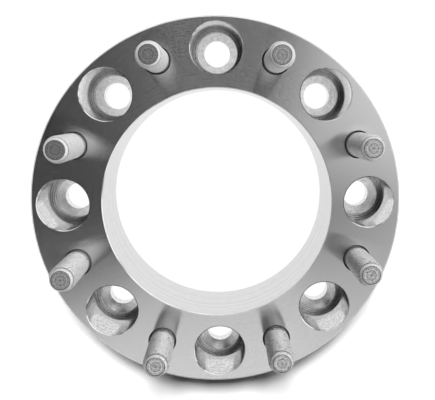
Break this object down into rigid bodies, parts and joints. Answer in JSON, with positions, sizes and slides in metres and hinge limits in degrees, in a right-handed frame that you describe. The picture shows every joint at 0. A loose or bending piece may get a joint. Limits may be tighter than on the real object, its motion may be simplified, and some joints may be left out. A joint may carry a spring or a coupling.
{
  "type": "wheel spacer",
  "caption": "Thick round bolt-on wheel spacer: turned aluminium ring with a large bore, deep lug nut pockets and pressed-in steel studs on a shared bolt circle.",
  "frame": {"origin": "on the bore's axis, in the face that bolts against the hub", "axes": "+Z along the bore, from the hub towards the wheel; +Y through one of the lug holes"},
  "size_m": [0.2056, 0.2056, 0.0912],
  "materials": {
    "turned_aluminium": "fine-turned faces, bare metal",
    "zinc_plated_steel": "zinc plated, satin"
  },
  "bodies": {
    "root": {"spacer_ring": "turned_aluminium", "wheel_stud_1": "zinc_plated_steel", "wheel_stud_2": "zinc_plated_steel", "wheel_stud_3": "zinc_plated_steel", "wheel_stud_4": "zinc_plated_steel", "wheel_stud_5": "zinc_plated_steel", "wheel_stud_6": "zinc_plated_steel", "wheel_stud_7": "zinc_plated_steel", "wheel_stud_8": "zinc_plated_steel"}
  },
  "joints": []
}
